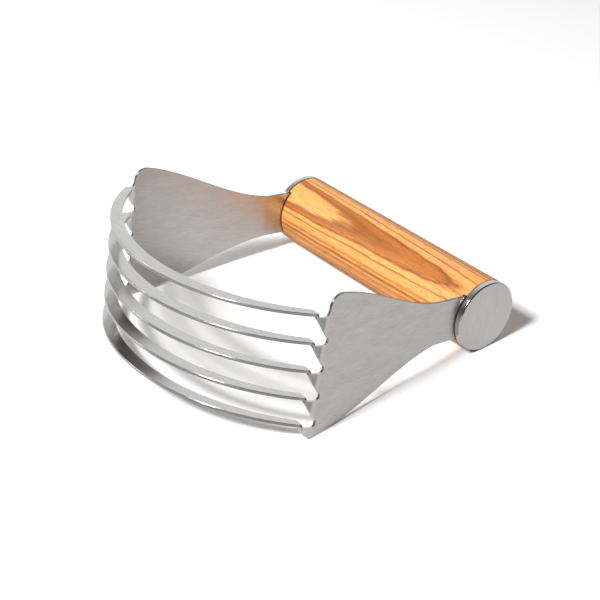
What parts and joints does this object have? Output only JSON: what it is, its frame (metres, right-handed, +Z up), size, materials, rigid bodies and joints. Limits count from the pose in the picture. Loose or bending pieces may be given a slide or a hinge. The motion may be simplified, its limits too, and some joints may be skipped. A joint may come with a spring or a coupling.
{
  "type": "pastry blender",
  "caption": "Hand pastry blender: curved flat steel blades between two fan-shaped side plates, with a turned wood grip clamped by steel end caps.",
  "frame": {"origin": "centre of the footprint, on the flat surface that the tool lies on", "axes": "+X along the grip, -Y towards the blades, +Z up from the surface; the grip and the two lower plate corners touch z = 0"},
  "size_m": [0.1106, 0.125, 0.0493],
  "materials": {
    "brushed_steel": "stainless sheet, fine brush lines along the plates and blades",
    "cap_steel": "stainless disc, satin face and polished rim",
    "olive_wood": "turned olive wood, oiled, satin, dark streaks along the grain",
    "zinc_steel": "zinc-plated fastener steel",
    "brass": "machined brass, grooved outside"
  },
  "bodies": {
    "root": {"blade_frame": "brushed_steel", "wood_grip": "olive_wood", "end_cap_left": "cap_steel", "end_cap_right": "cap_steel", "cap_stud_left": "zinc_steel", "cap_stud_right": "zinc_steel", "thread_insert_left": "brass", "thread_insert_right": "brass", "lock_washer_left": "zinc_steel", "lock_washer_right": "zinc_steel"}
  },
  "joints": []
}
